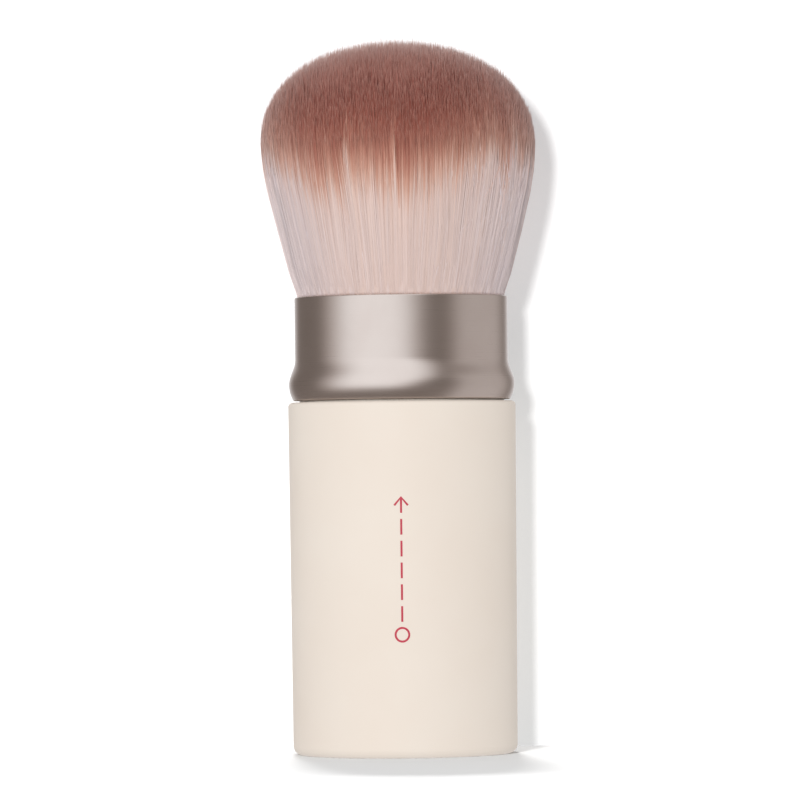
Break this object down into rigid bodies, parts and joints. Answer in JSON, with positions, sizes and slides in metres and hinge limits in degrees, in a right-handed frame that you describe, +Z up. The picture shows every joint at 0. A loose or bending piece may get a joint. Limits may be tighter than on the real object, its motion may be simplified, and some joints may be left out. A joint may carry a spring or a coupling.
{
  "type": "retractable kabuki makeup brush",
  "caption": "Short round makeup brush with a domed bristle head; its metal collar and slide tube pull up out of a smooth handle to cover the bristles.",
  "frame": {"origin": "centre of the handle's flat base", "axes": "+Z up the brush's axis, from the base to the tips of the bristles; the dome is a little higher towards -X"},
  "size_m": [0.0413, 0.0411, 0.1065],
  "materials": {
    "handle_cream": "soft-touch matte",
    "champagne_metal": "satin, spun",
    "bristle": "synthetic hair, pale at the root and rose-brown at the tip",
    "inner_plastic": "plain moulded",
    "plate_plastic": "plain moulded",
    "steel": "zinc plated",
    "ring_rubber": "matte",
    "ferrule_aluminium": "plain",
    "resin": "cast"
  },
  "bodies": {
    "handle": {"body_shell": "handle_cream", "guide_bush": "inner_plastic", "base_plate": "plate_plastic", "base_weight": "steel", "plate_screw": "steel", "stem": "inner_plastic", "glide_ring": "ring_rubber", "ferrule": "ferrule_aluminium", "resin_plug": "resin", "bristles": "bristle"},
    "sleeve": {"slide_tube": "inner_plastic", "collar_core": "inner_plastic", "collar_shell": "champagne_metal"}
  },
  "joints": [
    {"name": "sleeve_slide", "type": "slide", "parent": "handle", "child": "sleeve", "axis": [0, 0, 1], "range_m": [0, 0.0408], "deforming": ["bristles"]}
  ]
}
